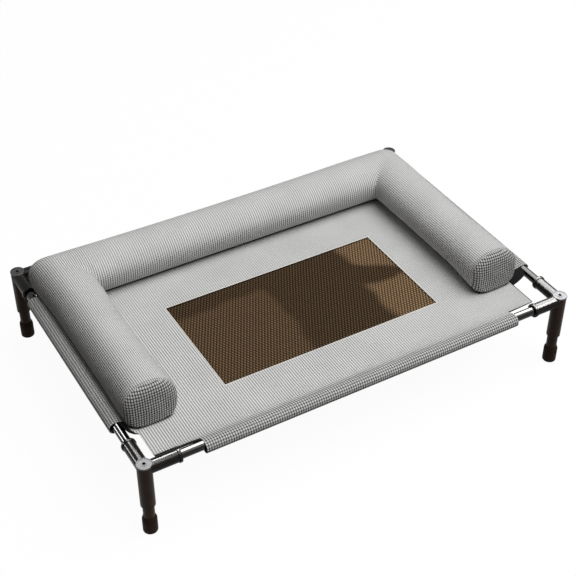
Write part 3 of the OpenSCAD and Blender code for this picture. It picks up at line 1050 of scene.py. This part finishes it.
def section(inset, inner_foot=SECT_POW):
    """Outward and up coordinates round the section, drawn in by an inset; the foot is squarer outside."""
    half_h = (BOLSTER_H + SQUASH) / 2
    middle = BOLSTER_H - half_h - END_SIT * (inset - SLACK)
    foot = np.where(np.cos(turn) > 0, FOOT_POW, inner_foot)
    power = np.where(np.sin(turn) < 0, foot, SECT_POW)
    up = middle + (half_h - inset) * signed_pow(np.sin(turn), power)
    outward = (HALF_W - inset) * signed_pow(np.cos(turn), power)
    return outward, np.maximum(0.0, up)


outward, up = section(SLACK)
lengths = np.hypot(np.diff(outward), np.diff(up))
girth = np.concatenate([[0], np.cumsum(lengths)])
girth -= girth[AROUND // 2]
girth *= CLOSER
print("girth in mm", round(lengths.sum() / MM, 1))

# %% [markdown]
# The grid is made of rows: left arm, left corner, back, right corner and right arm.
# Straight rows follow their axis, and corner rows turn about a small radius on the
# inside and a larger one outside. The weave runs along the arms and over the back, as
# if all of it were cut from one piece, so arms, ends and back have their own UV rule.

# %% Bolster grid
RUN_STEP = 9 * MM
BEND_STEPS = 5
END_STEPS = 7
CAP_STEPS = 7
FOOT_ROWS = 8


def bend(side, angle):
    """Plan of a corner row: how far it goes out of each axis."""
    radius = CREASE_R + (CORNER_R - CREASE_R) * (side / BOLSTER_W + 0.5)
    return side - radius + radius * math.cos(angle), side - radius + radius * math.sin(angle)


def across(x):
    """Cut along the back: as close as over an arm where the back meets one, and even between them."""
    last = round((BOLSTER_W * CLOSER + ARM_RIGHT - ARM_LEFT - BOLSTER_W) / THREAD_U) * THREAD_U
    near, far = HALF_W * CLOSER, BOLSTER_W * CLOSER
    return np.interp(x, [ARM_LEFT - BOLSTER_W, ARM_LEFT + HALF_W, ARM_RIGHT - HALF_W, ARM_RIGHT + BOLSTER_W],
                     [-far, near, last - near, last + far])


def row(x, y, up, u, v):
    """One row of the grid: its points, and its cut."""
    x, y, u, v = (np.broadcast_to(value, up.shape) for value in (x, y, u, v))
    return x, y, up, np.stack([u, v], 1)


def straight(first, last):
    """Places along a straight run, with their count and how far the cover is drawn in there."""
    count = round((last - first) / RUN_STEP)
    for k in range(count + 1):
        yield k, first + (last - first) * k / count, SLACK + DRAW_IN * math.sin(math.pi * k / count)


def arm_rows():
    """Rows from the front end of an arm to the middle of its corner, with X outward from the arm's axis."""
    side, rise = section(SLACK + END_ROUND, FOOT_POW)
    for share in np.linspace(CAP_START, 1, CAP_STEPS):
        swell = END_SWELL * (1 - share ** 2) ** 2
        lift = CAP_MIDDLE + (rise - CAP_MIDDLE) * share
        yield row(side * share, ARM_FRONT + SLACK - swell, lift, side * share, lift)
    for angle in np.linspace(0, math.pi / 2, END_STEPS)[1:]:
        side, rise = section(SLACK + END_ROUND * (1 - math.sin(angle)), FOOT_POW)
        y = ARM_FRONT + SLACK + END_ROUND * (1 - math.cos(angle))
        grow = 1 + 0.5 * END_ROUND * (angle - math.sin(angle)) / HALF_W
        yield row(side, y, rise, side * grow, CAP_MIDDLE + (rise - CAP_MIDDLE) * grow)
    for k, y, inset in straight(ARM_FRONT + SLACK + END_ROUND, ARM_BACK - CREASE_GAP):
        side, rise = section(inset, FOOT_POW + (SECT_POW - FOOT_POW) * min(1, k / FOOT_ROWS))
        yield row(side, y, rise, girth, y)
    wide, rise = section(SLACK)
    for angle in np.linspace(0, math.pi / 4, BEND_STEPS + 1):
        side, along = bend(wide, angle)
        on_top = angle / (math.pi / 4) * np.maximum(0, np.sin(turn))
        cut = (girth + CLOSER * (wide - side)) * (1 - on_top) - CLOSER * side * on_top
        yield row(side, ARM_BACK + along, rise, cut, ARM_BACK + along)


def corner_rows(axis, outer, angles):
    """Rows of the back's half of a corner."""
    wide, rise = section(SLACK)
    for angle in np.linspace(*angles, BEND_STEPS + 1):
        side, along = bend(wide, angle)
        x = axis + outer * side
        yield row(x, ARM_BACK + along, rise, across(x), girth + CLOSER * (wide - along))


def back_rows():
    """Rows of the back between its two corners."""
    for _, x, inset in straight(ARM_LEFT + CREASE_GAP, ARM_RIGHT - CREASE_GAP):
        side, rise = section(inset)
        yield row(x, ARM_BACK + side, rise, across(x), girth)


arm = list(arm_rows())
grid = [(ARM_LEFT - side, y, up, cut) for side, y, up, cut in arm]
grid += [
    *corner_rows(ARM_LEFT, -1, (math.pi / 4, math.pi / 2)),
    *back_rows(),
    *corner_rows(ARM_RIGHT, 1, (math.pi / 2, math.pi / 4)),
]
grid += [(ARM_RIGHT + side, y, up, cut) for side, y, up, cut in reversed(arm)]
print("bolster rows", len(grid), "points", len(grid) * AROUND)

# %% [markdown]
# Blender's grid primitive supplies the faces, and its points are moved to the rows.
# Rows that two runs share lie on each other, so merging by distance closes the tube
# there, under the bolster and at the tips, while each face keeps its own cut.

# %% Bolster mesh
bpy.ops.mesh.primitive_grid_add(x_subdivisions=AROUND, y_subdivisions=len(grid) - 1)
bolster = named("bolster")
spots = np.array([np.stack([x, y, BOLSTER_Z + up], 1) for x, y, up, _ in grid])
bolster.data.vertices.foreach_set("co", spots.reshape(-1))
map_flat_cut(bolster, np.concatenate([cut for _, _, _, cut in grid]))
edit()
bpy.ops.mesh.remove_doubles(threshold=0.02 * MM)
bpy.ops.mesh.select_mode(type="EDGE")
bpy.ops.mesh.select_all(action="DESELECT")
bpy.ops.mesh.select_non_manifold()
bpy.ops.mesh.edge_face_add()
edit()
bpy.ops.mesh.normals_make_consistent()
done()
print("bolster points", len(bolster.data.vertices), "faces", len(bolster.data.polygons))

# %% [markdown]
# The filling presses the cover out. Blender's cloth does that with a pressure inside,
# no gravity, and the flat base held to the deck. No point may move further than the
# cap, so the bolster keeps the size of its solid. The back left corner is stuffed
# fuller than the back right one, and the arms come to lie on the hems at their sides.

# %% Bolster filling
SWELL_CAP = 5 * MM
FRAMES = 20
FULL_FROM = 20 * MM
FULL_BEHIND = 0.6
HELD_BELOW = 0.2 * MM
REST_GAP = 0.6 * MM
COVER = {
    "quality": 6, "mass": 0.15, "tension_stiffness": 25, "compression_stiffness": 25, "shear_stiffness": 12,
    "bending_stiffness": 2, "use_pressure": True, "uniform_pressure_force": 4, "vertex_group_mass": "held",
}
# Each corner: the arm's axis, its outward side, how full it is, and how far that reaches
CORNERS = ((ARM_LEFT, -1, 7 * MM, 130 * MM), (ARM_RIGHT, 1, -2.5 * MM, 50 * MM))


def fade(distance, reach):
    """Goes smoothly from 1 at a corner to 0 at its reach."""
    share = unit(1 - distance / reach)
    return share * share * (3 - 2 * share)


for v in bolster.data.vertices:
    rise = min(1, (v.co.z - BOLSTER_Z) / FULL_FROM)
    for axis, outer, full, reach in CORNERS:
        side = unit((v.co.x - axis) * outer / HALF_W)
        v.co.x += outer * side * rise * full * fade(ARM_BACK + HALF_W - v.co.y, reach)
        behind = unit((v.co.y - ARM_BACK) / HALF_W)
        v.co.y += full * FULL_BEHIND * rise * behind * fade((axis - v.co.x) * outer + HALF_W, reach)

held = bolster.vertex_groups.new(name="held")
base = [v.index for v in bolster.data.vertices if v.co.z < BOLSTER_Z + HELD_BELOW]
held.add(base, 1.0, "REPLACE")
cloth = bolster.modifiers.new("filling", "CLOTH")
for setting, value in COVER.items():
    setattr(cloth.settings, setting, value)
cloth.settings.effector_weights.gravity = 0
cloth.collision_settings.use_collision = False
cloth.point_cache.frame_end = FRAMES
for step in range(1, FRAMES + 1):
    scene.frame_set(step)
shaped = bolster.evaluated_get(bpy.context.evaluated_depsgraph_get())
start = points_of(bolster.data)
move = (points_of(shaped.data) - start).reshape(-1, 3)
size = np.linalg.norm(move, axis=1, keepdims=True)
move *= np.minimum(1, SWELL_CAP / np.maximum(size, 1e-9))
ended = start.reshape(-1, 3) + move
ended[:, 2] = np.maximum(ended[:, 2], BOLSTER_Z)
bolster.modifiers.remove(cloth)
bolster.data.vertices.foreach_set("co", ended.reshape(-1))
bolster.data.update()
scene.frame_set(1)
print("middle and most swell in mm", short([np.median(size) / MM, size.max() / MM]))

# No point is below the slope of the cloth beside the panel
for v in bolster.data.vertices:
    for panel_end, outer in zip(PANEL_X, (-1, 1)):
        past = (v.co.x - panel_end) * outer
        edge = FRAME_X - panel_end * outer
        if past > 0:
            slope = past * OVER_R / math.sqrt(edge ** 2 - OVER_R ** 2)
            v.co.z = max(v.co.z, DECK_TOP + slope + REST_GAP)

# %% [markdown]
# One level of subdivision rounds the facets. The seam that joins each end panel to
# its tube is a narrow groove, pressed in along the normals after the swelling. The
# weave is closed along the crown and opens down the sides. Painted shade darkens the
# sides, the outer side of the left arm and the ends.

# %% Bolster seams and finish
SEAM_Y = ARM_FRONT + END_ROUND + 3 * MM
SEAM_HALF = 4 * MM
SEAM_DEEP = 0.9 * MM
SEAM_ABOVE = 1 * MM
END_SHADE_FULL, END_SHADE_NONE = ARM_FRONT + 8 * MM, SEAM_Y + 22 * MM
END_SHADE = 2
CROWN_LEFT, CROWN_BACK, CROWN_RIGHT = 0.85, 0.4, 0.6
SIDE_OPEN_AND_SHADE, SIDE_POW = 1.22, 0.6
OUTER_SHADE = 0.5

finer = bolster.modifiers.new("finer", "SUBSURF")
finer.levels = 1
apply_all(bolster)
for v in bolster.data.vertices:
    from_seam = abs(v.co.y - SEAM_Y)
    if from_seam < SEAM_HALF and v.co.z > BOLSTER_Z + SEAM_ABOVE:
        v.co -= v.normal * SEAM_DEEP * (1 - from_seam / SEAM_HALF)
bolster.data.materials.append(grey_cloth)
gape_and_shade = bolster.data.attributes.new("gape_and_shade", "FLOAT", "POINT")
# Painted shade: high values darken the ends, the steep sides and the outer side of the left arm
for v, spot in zip(bolster.data.vertices, gape_and_shade.data):
    end = unit((END_SHADE_NONE - v.co.y) / (END_SHADE_NONE - END_SHADE_FULL))
    crown = CROWN_BACK
    if v.co.x < ARM_LEFT + HALF_W:
        crown = CROWN_LEFT
    elif v.co.x > ARM_RIGHT - HALF_W:
        crown = CROWN_RIGHT
    side = (SIDE_OPEN_AND_SHADE - crown) * (1 - max(0, v.normal.z)) ** SIDE_POW
    outer = max(0, -v.normal.x) if v.co.x < ARM_LEFT else 0
    spot.value = max(END_SHADE * end, crown + side + OUTER_SHADE * outer)
smooth(bolster, 70)
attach(bolster, "bolster")
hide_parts("bolster_cover", "bolster_fill")
print("bolster faces", len(bolster.data.polygons))
